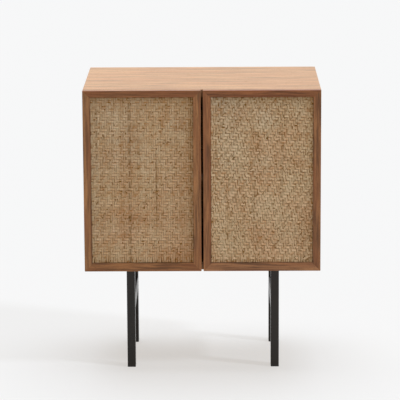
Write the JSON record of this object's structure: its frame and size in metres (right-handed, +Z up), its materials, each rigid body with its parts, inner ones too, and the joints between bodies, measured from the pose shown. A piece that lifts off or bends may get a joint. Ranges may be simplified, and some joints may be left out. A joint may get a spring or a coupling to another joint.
{
  "type": "storage side table with cane doors",
  "caption": "Small wooden cabinet side table with full-overlay woven cane doors in mitred frames, push latches, a shelf inside, and black tubular metal leg frames.",
  "frame": {"origin": "on the floor, under the middle of the cabinet's outline", "axes": "+Z up, the doors face -Y, +X to the right as seen from the front"},
  "size_m": [0.57, 0.38, 0.7],
  "materials": {
    "wood": "satin varnish",
    "cane": "natural woven cane",
    "backing_board": "matt",
    "black_steel": "satin powder coat",
    "steel": "zinc plated",
    "latch_plastic": "matt",
    "black_plastic": "matt"
  },
  "bodies": {
    "cabinet": {"back_panel": "wood", "back_panel_screws": "steel", "bottom_panel": "wood", "corner_splines": "wood", "hinge_case_screws": "steel", "latch_screws": "steel", "left_front_glide": "black_plastic", "left_front_leg": "black_steel", "left_latch_housing": "latch_plastic", "left_lower_hinge_case_leaf": "steel", "left_lower_hinge_pin": "steel", "left_mounting_plate": "black_steel", "left_rear_glide": "black_plastic", "left_rear_leg": "black_steel", "left_side_panel": "wood", "left_side_rail": "black_steel", "left_upper_hinge_case_leaf": "steel", "left_upper_hinge_pin": "steel", "leg_screws": "steel", "right_front_glide": "black_plastic", "right_front_leg": "black_steel", "right_latch_housing": "latch_plastic", "right_lower_hinge_case_leaf": "steel", "right_lower_hinge_pin": "steel", "right_mounting_plate": "black_steel", "right_rear_glide": "black_plastic", "right_rear_leg": "black_steel", "right_side_panel": "wood", "right_side_rail": "black_steel", "right_upper_hinge_case_leaf": "steel", "right_upper_hinge_pin": "steel", "shelf": "wood", "shelf_pins": "steel", "top_panel": "wood"},
    "left_door": {"left_door_backing": "backing_board", "left_door_bottom_rail": "wood", "left_door_cane": "cane", "left_door_inner_stile": "wood", "left_door_mitre_splines": "wood", "left_door_outer_stile": "wood", "left_door_screws": "steel", "left_door_strike_plate": "steel", "left_door_top_rail": "wood", "left_lower_hinge_door_leaf": "steel", "left_upper_hinge_door_leaf": "steel"},
    "right_door": {"right_door_backing": "backing_board", "right_door_bottom_rail": "wood", "right_door_cane": "cane", "right_door_inner_stile": "wood", "right_door_mitre_splines": "wood", "right_door_outer_stile": "wood", "right_door_screws": "steel", "right_door_strike_plate": "steel", "right_door_top_rail": "wood", "right_lower_hinge_door_leaf": "steel", "right_upper_hinge_door_leaf": "steel"},
    "left_latch_plunger": {"left_latch_plunger": "latch_plastic"},
    "right_latch_plunger": {"right_latch_plunger": "latch_plastic"}
  },
  "joints": [
    {"name": "left_door_hinge", "type": "hinge", "parent": "cabinet", "child": "left_door", "pos_m": [-0.2805, -0.179, 0.479], "axis": [0, 0, -1], "range_deg": [0, 105]},
    {"name": "right_door_hinge", "type": "hinge", "parent": "cabinet", "child": "right_door", "pos_m": [0.2805, -0.179, 0.479], "axis": [0, 0, 1], "range_deg": [0, 105]},
    {"name": "left_latch_slide", "type": "slide", "parent": "cabinet", "child": "left_latch_plunger", "axis": [0, -1, 0], "range_m": [0, 0.01]},
    {"name": "right_latch_slide", "type": "slide", "parent": "cabinet", "child": "right_latch_plunger", "axis": [0, -1, 0], "range_m": [0, 0.01]}
  ],
  "couplings": [
    {"joint": "left_latch_slide", "follows": "left_door_hinge", "m_per_rad": 0.0054566},
    {"joint": "right_latch_slide", "follows": "right_door_hinge", "m_per_rad": 0.0054566}
  ]
}
